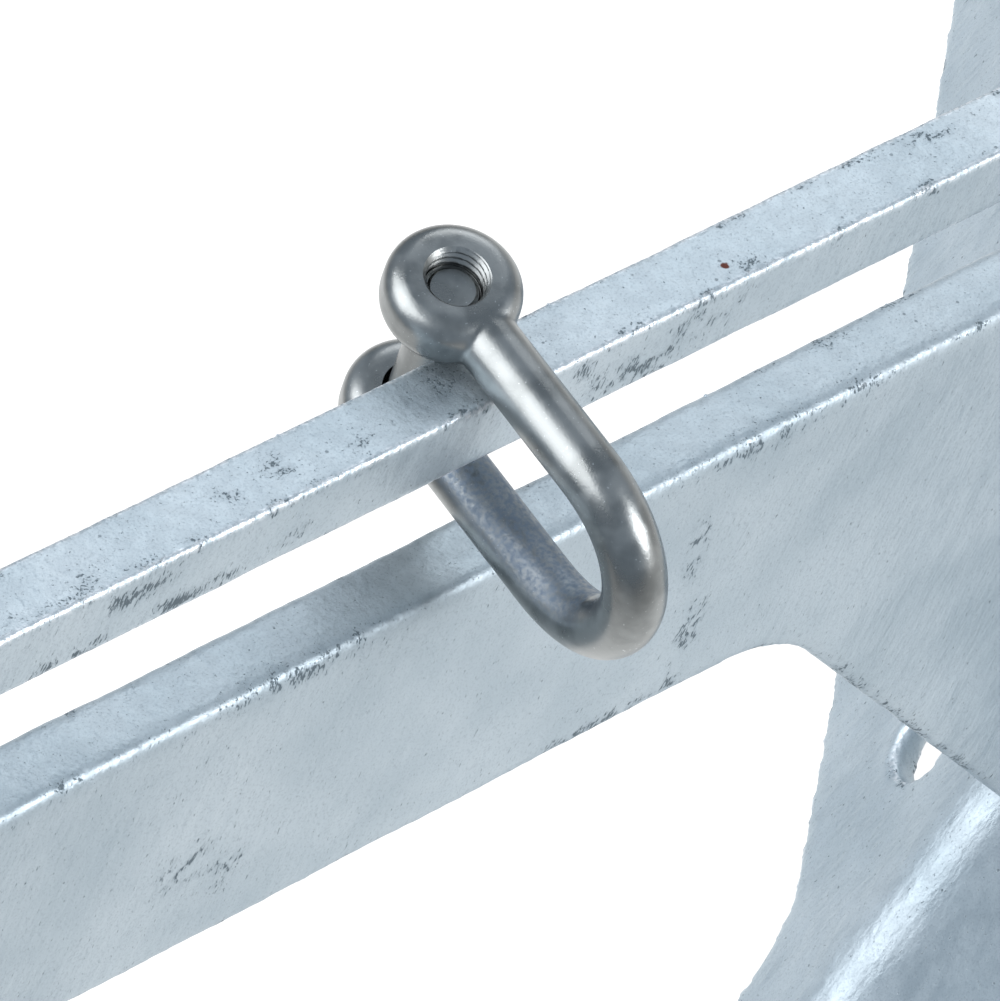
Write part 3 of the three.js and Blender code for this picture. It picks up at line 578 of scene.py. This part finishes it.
def nodule_tree():
    """Nodes that leave a few small beads on a surface, along its edges."""
    tree = bpy.data.node_groups.new("zinc_nodules", "GeometryNodeTree")
    tree.interface.new_socket("Geometry", in_out="INPUT", socket_type="NodeSocketGeometry")
    for name, kind in (("Edge", "Float"), ("Share", "Float"), ("Smallest", "Float"), ("Largest", "Float"),
                       ("Seed", "Int"), ("Material", "Material")):
        tree.interface.new_socket(name, in_out="INPUT", socket_type="NodeSocket" + kind)
    tree.interface.new_socket("Geometry", in_out="OUTPUT", socket_type="NodeSocketGeometry")
    given = add(tree, "NodeGroupInput").outputs
    normal = add(tree, "GeometryNodeInputNormal").outputs[0]
    sunk = add(tree, "ShaderNodeVectorMath", {0: normal, "Scale": -0.2 * mm}, operation="SCALE").outputs[0]
    under = add(tree, "GeometryNodeSetPosition", {"Geometry": given["Geometry"], "Offset": sunk}).outputs[0]
    edge = add(tree, "GeometryNodeInputNamedAttribute", {"Name": "edge"}, data_type="FLOAT").outputs[0]
    on_edge = add(tree, "ShaderNodeMath", {0: edge, 1: given["Edge"]}, operation="GREATER_THAN").outputs[0]
    share = add(tree, "ShaderNodeMath", {0: on_edge, 1: given["Share"]}, operation="MULTIPLY").outputs[0]
    chosen = add(tree, "FunctionNodeRandomValue", {
        "Probability": share, "Seed": given["Seed"]}, data_type="BOOLEAN")
    size = add(tree, "FunctionNodeRandomValue", {
        2: given["Smallest"], 3: given["Largest"], "Seed": given["Seed"]}, data_type="FLOAT")
    ball = add(tree, "GeometryNodeMeshIcoSphere", {"Radius": 1.0, "Subdivisions": 2})
    placed = add(tree, "GeometryNodeInstanceOnPoints", {
        "Points": under, "Selection": chosen, "Instance": ball.outputs[0], "Scale": size})
    real = add(tree, "GeometryNodeRealizeInstances", {0: placed.outputs[0]})
    painted = add(tree, "GeometryNodeSetMaterial", {
        "Geometry": real.outputs[0], "Material": given["Material"]})
    smooth = add(tree, "GeometryNodeSetShadeSmooth", {0: painted.outputs[0]})
    add(tree, "NodeGroupOutput", {0: smooth.outputs[0]})
    return tree


nodules = nodule_tree()
for index, (piece, nearness) in enumerate(((shank_plate, 0.45), (square_rail, 0.8))):
    drops = bpy.data.objects.new(piece.name + "_nodules", piece.data.copy())
    bpy.context.scene.collection.objects.link(drops)
    frozen = drops.modifiers.new("frozen", "NODES")
    frozen.node_group = nodules
    set_inputs(frozen, {"Edge": nearness, "Share": 0.006, "Smallest": 0.25 * mm, "Largest": 0.5 * mm,
                        "Seed": 60 + index, "Material": zinc_plate})
    dressed(finished(drops), zinc_plate, "galvanised_plate", "anchor")

# ---- Shackle bow ----
# Round stainless bar, bent to a D and upset into an eye at each end, then tumbled. The upper
# eye is tapped and the lower one is drilled plain. Its inside is galled blue-grey by the chain.

pin_up = Vector(swing["axis"]).normalized()
bow_places = np.array([v.co for v in frame["nodes"]["shackle_bow"].data.vertices])
towards_bow = Vector(bow_places.mean(0)) - pin_middle
towards_bow = (towards_bow - pin_up * towards_bow.dot(pin_up)).normalized()
shackle_side = pin_up.cross(towards_bow)
# x across the shackle, y away from the bow, z up the pin, in millimetres
shackle_place = (Matrix.Translation(pin_middle)
                 @ Matrix((shackle_side, -towards_bow, pin_up)).transposed().to_4x4()
                 @ Matrix.Scale(mm, 4))

bar_radius = 5.0
half_span = 16.85
leg_length = 35.0
eye_radius = 10.75
eye_half = 5.125
eye_edge = 3.7


def swept(path, radius, sides=48):
    """A closed round bar along a path that lies in the plane x = 0."""
    bar = bmesh.new()
    rings = []
    for index, point in enumerate(path):
        ahead = path[min(index + 1, len(path) - 1)] - path[max(index - 1, 0)]
        outward = Vector((1, 0, 0)).cross(ahead.normalized())
        ring = []
        for i in range(sides):
            turn = 2 * math.pi * i / sides
            around = Vector((1, 0, 0)) * math.cos(turn) + outward * math.sin(turn)
            ring.append(bar.verts.new(point + around * radius))
        rings.append(ring)
    for first, second in zip(rings, rings[1:]):
        for i in range(sides):
            bar.faces.new((first[i], first[(i + 1) % sides], second[(i + 1) % sides], second[i]))
    bar.faces.new(rings[0][::-1])
    bar.faces.new(rings[-1])
    bmesh.ops.recalc_face_normals(bar, faces=bar.faces)
    return bar


def turned(profile, segments=96):
    """A closed solid of revolution about z, from pairs of a radius and a height. The first and
    the last pair are on the axis."""
    solid = bmesh.new()
    rings = []
    for radius, height in profile:
        if radius == 0:
            rings.append([solid.verts.new((0, 0, height))])
        else:
            rings.append([solid.verts.new((radius * math.cos(t), radius * math.sin(t), height))
                          for t in (2 * math.pi * i / segments for i in range(segments))])
    for first, second in zip(rings, rings[1:]):
        for i in range(segments):
            j = (i + 1) % segments
            corners = [first[i % len(first)], first[j % len(first)],
                       second[j % len(second)], second[i % len(second)]]
            solid.faces.new(list(dict.fromkeys(corners)))
    bmesh.ops.recalc_face_normals(solid, faces=solid.faces)
    return solid


def added(solid, other):
    """Puts another bmesh's faces into this one."""
    mesh = bpy.data.meshes.new("other")
    other.to_mesh(mesh)
    other.free()
    solid.from_mesh(mesh)
    bpy.data.meshes.remove(mesh)


def threaded(radius, depth, pitch, bottom, top, segments=80, steps=14):
    """A closed screw-thread solid about z, with crests at the radius and roots a depth inside it."""
    rows = max(2, round((top - bottom) / pitch * steps))
    thread = bmesh.new()
    rings = []
    for row in range(rows + 1):
        height = bottom + (top - bottom) * row / rows
        ring = []
        for i in range(segments):
            phase = (height / pitch - i / segments) % 1
            fall = min(1.0, max(0.0, (abs(phase - 0.5) * 2 - 0.12) / 0.72))
            reach = radius - depth * fall
            turn = 2 * math.pi * i / segments
            ring.append(thread.verts.new((reach * math.cos(turn), reach * math.sin(turn), height)))
        rings.append(ring)
    for first, second in zip(rings, rings[1:]):
        for i in range(segments):
            j = (i + 1) % segments
            thread.faces.new((first[i], first[j], second[j], second[i]))
    thread.faces.new(rings[0][::-1])
    thread.faces.new(rings[-1])
    return thread


def rounded_eye(height):
    """The profile of an eye: a thick disc with a wide rounding."""
    profile = [(0, height - eye_half)]
    for end, first in ((-1, -math.pi / 2), (1, 0)):
        for step in range(9):
            turn = first + step * math.pi / 16
            profile.append((eye_radius - eye_edge + eye_edge * math.cos(turn),
                            height + end * (eye_half - eye_edge) + eye_edge * math.sin(turn)))
    return profile + [(0, height + eye_half)]


bow_path = [Vector((0, -leg_length * i / 20, half_span)) for i in range(20)]
reach = half_span * 4 / 3  # makes the end close to a half circle
for i in range(49):
    t = i / 48
    bow_path.append(
        Vector((0, -leg_length, half_span)) * (1 - t) ** 3
        + Vector((0, -leg_length - reach, half_span)) * 3 * t * (1 - t) ** 2
        + Vector((0, -leg_length - reach, -half_span)) * 3 * t * t * (1 - t)
        + Vector((0, -leg_length, -half_span)) * t ** 3)
bow_path += [Vector((0, -leg_length * (1 - i / 20), -half_span)) for i in range(1, 21)]
bow_solid = swept(bow_path, bar_radius)
for height in (half_span, -half_span):
    added(bow_solid, turned(rounded_eye(height)))
bow = made_object("d_shackle_bow", bow_solid)
forged = bow.modifiers.new("forged", "REMESH")
forged.mode = "VOXEL"
forged.voxel_size = 0.42
forged.use_smooth_shade = True
tumbled = bow.modifiers.new("tumbled", "SMOOTH")
tumbled.factor = 0.5
tumbled.iterations = 3
finished(bow)

# tapped hole: M10, 1.5 mm pitch, with a small countersink where the drill came in
thread_pitch = 1.5
face = half_span + eye_half
hole_radius = 5.15
plain_hole_radius = 5.2
cut(bow, made_object("tap", threaded(hole_radius, 0.5, thread_pitch, half_span - eye_half - 2, face + 1)))
cut(bow, made_object("countersink", turned([
    (0, face - 1.0), (4.3, face - 1.0), (5.5, face + 0.2), (5.5, face + 1), (0, face + 1)])))
cut(bow, made_object("drill", turned([
    (0, -half_span - eye_half - 1), (plain_hole_radius, -half_span - eye_half - 1),
    (plain_hole_radius, -half_span + eye_half + 1), (0, -half_span + eye_half + 1)])))


def stainless_steel(name, roughness=0.3):
    """Tumbled stainless: bright and a little warm, with blurred reflections, faint white specks
    and a dull blue-grey where it is galled."""
    material = bpy.data.materials.new(name)
    material.use_nodes = True
    tree = material.node_tree
    tree.nodes.clear()
    place = add(tree, "ShaderNodeTexCoord").outputs["Object"]
    galled = add(tree, "ShaderNodeAttribute", attribute_name="galled").outputs["Fac"]
    patterns = {}
    for what, size, detail in (("haze", 7, 3), ("specks", 0.5, 2), ("chafing", 0.8, 4), ("skin", 0.35, 2)):
        patterns[what] = add(tree, "ShaderNodeTexNoise", {
            "Vector": place, "Scale": 1 / (size * mm), "Detail": detail})
    haze = add(tree, ramp, {"Value": patterns["haze"], "From Min": 0.38, "From Max": 0.62}, **eased)
    speck = add(tree, ramp, {"Value": patterns["specks"], "From Min": 0.69, "From Max": 0.74,
                             "To Max": 0.5}, **eased)
    uneven = add(tree, ramp, {"Value": patterns["chafing"], "From Min": 0.3, "From Max": 0.7,
                              "To Min": 0.3}, **eased)
    chafe = add(tree, maths, {0: galled, 1: uneven}, operation="MULTIPLY")
    colour = add(tree, mix, {0: haze, 6: linear("#8C8F8F"), 7: linear("#A3A6A6")}, **in_colour)
    colour = add(tree, mix, {0: speck, 6: colour, 7: linear("#E8ECEE")}, **in_colour)
    colour = add(tree, mix, {0: chafe, 6: colour, 7: linear("#7C8998")}, **in_colour)
    rough = add(tree, ramp, {"Value": patterns["haze"], "From Min": 0.35, "From Max": 0.65,
                             "To Min": roughness - 0.03, "To Max": roughness + 0.05}, **eased)
    rough = add(tree, maths, {0: chafe, 1: 0.3, 2: rough}, operation="MULTIPLY_ADD")
    height = add(tree, maths, {0: patterns["skin"], 1: chafe}, operation="ADD")
    bump = add(tree, "ShaderNodeBump", {"Height": height, "Strength": 0.25, "Distance": 0.08 * mm})
    shader = add(tree, "ShaderNodeBsdfPrincipled", {
        "Base Color": colour, "Metallic": 1.0, "Roughness": rough, "Normal": bump})
    add(tree, "ShaderNodeOutputMaterial", {"Surface": shader})
    return material


stainless = stainless_steel("tumbled_stainless_steel")
mesh = bow.data
places = np.array([v.co for v in mesh.vertices])
normals = np.array([v.normal for v in mesh.vertices])
inner_leg = (places[:, 2] < -8) & (places[:, 1] < -8) & (places[:, 1] > -50)
galled = np.where(inner_leg, np.clip(normals[:, 2] * 2 - 0.4, 0, 1), 0)
mesh.attributes.new("galled", "FLOAT", "POINT").data.foreach_set("value", galled.astype(np.float32))
mesh.transform(shackle_place)
mesh.shade_smooth()
mesh.set_sharp_from_angle(angle=math.radians(35))
dressed(bow, stainless, "stainless", "shackle_bow_body", "shackle_bow")

# ---- Shackle pin ----
# Turned stainless pin with a rolled thread at its end, a collar that seats on the plain eye,
# and a flat tab, drilled for a seizing wire, to turn it by.

pin_radius = 4.4
pin_end = face - 3.6
collar_top = -face - 0.3
head = merged_copy("shackle_pin")
bmesh.ops.transform(head, matrix=shackle_place.inverted(), verts=head.verts)
above = bmesh.ops.bisect_plane(
    head, geom=head.verts[:] + head.edges[:] + head.faces[:], dist=1e-6,
    plane_co=(0, 0, collar_top + 2), plane_no=(0, 0, 1), clear_outer=True)
bmesh.ops.holes_fill(head, edges=[e for e in above["geom_cut"] if isinstance(e, bmesh.types.BMEdge)], sides=0)
pin = made_object("shackle_pin_head_and_shank", head)
forged = pin.modifiers.new("forged", "REMESH")
forged.mode = "VOXEL"
forged.voxel_size = 0.33
forged.use_smooth_shade = True
tumbled = pin.modifiers.new("tumbled", "SMOOTH")
tumbled.factor = 0.5
tumbled.iterations = 3
finished(pin)
thread_start = half_span - eye_half - 1
root_radius = pin_radius - 0.45
shaft = made_object("shaft", turned([
    (0, collar_top - 1), (pin_radius, collar_top - 1), (pin_radius, thread_start),
    (root_radius, thread_start + 0.5), (root_radius, pin_end - 0.5), (pin_radius - 0.9, pin_end),
    (0, pin_end)]))
cut(pin, shaft, "UNION")
rolled = threaded(pin_radius + 0.15, 0.5, thread_pitch, thread_start + 0.5, pin_end - 0.6)
cut(pin, made_object("rolled_thread", rolled), "UNION")
pin.data.transform(shackle_place)
pin.data.shade_smooth()
pin.data.set_sharp_from_angle(angle=math.radians(35))
dressed(pin, stainless, "stainless", "shackle_pin_body", "shackle_pin")

# ---- Floor and light ----
# A pale floor with a painted glow around one spot under the anchor, one large soft light overhead, one low on
# the right and one behind.

pale = bpy.data.materials.new("pale_floor_with_painted_glow")
pale.use_nodes = True
tree = pale.node_tree
tree.nodes.clear()
# painted light: the floor's emission glows around this spot and fades out between 0.2 and 0.95 m from it
glow_middle = (0.15, 0.18, 0.0)
place = add(tree, "ShaderNodeTexCoord").outputs["Object"]
spot = add(tree, "ShaderNodeVectorMath", {0: place, 1: glow_middle}, operation="DISTANCE").outputs["Value"]
glow = add(tree, ramp, {"Value": spot, "From Min": 0.2, "From Max": 0.95,
                        "To Min": 0.65, "To Max": 0.0}, **eased)
lit = add(tree, "ShaderNodeBsdfPrincipled", {
    "Base Color": linear("#BDB9B4"), "Roughness": 0.9, "Emission Color": linear("#FFFFFF"),
    "Emission Strength": glow})
add(tree, "ShaderNodeOutputMaterial", {"Surface": lit})
floor_mesh = bpy.data.meshes.new("floor")
floor_mesh.from_pydata([(-6, -6, 0), (6, -6, 0), (6, 6, 0), (-6, 6, 0)], [], [(0, 1, 2, 3)])
floor_mesh.materials.append(pale)
floor = bpy.data.objects.new("floor", floor_mesh)
bpy.context.scene.collection.objects.link(floor)

world = bpy.data.worlds.new("studio")
world.use_nodes = True
world.node_tree.nodes["Background"].inputs["Color"].default_value = linear("#B4C2D0")
world.node_tree.nodes["Background"].inputs["Strength"].default_value = 0.7
bpy.context.scene.world = world


def soft_light(name, place, size, power):
    """A square softbox that faces the anchor."""
    light = bpy.data.lights.new(name, "AREA")
    light.size = size
    light.energy = power
    lamp = bpy.data.objects.new(name, light)
    lamp.location = place
    lamp.rotation_euler = (Vector((0.05, 0, 0.2)) - Vector(place)).to_track_quat("-Z", "Y").to_euler()
    bpy.context.scene.collection.objects.link(lamp)


soft_light("overhead", (-0.7, 1.0, 2.4), 2.6, 60)
soft_light("right_back", (2.4, 1.2, 1.0), 1.4, 11)
soft_light("right_front", (1.7, -2.4, 0.9), 1.5, 52)
bpy.context.scene.view_settings.view_transform = "Standard"
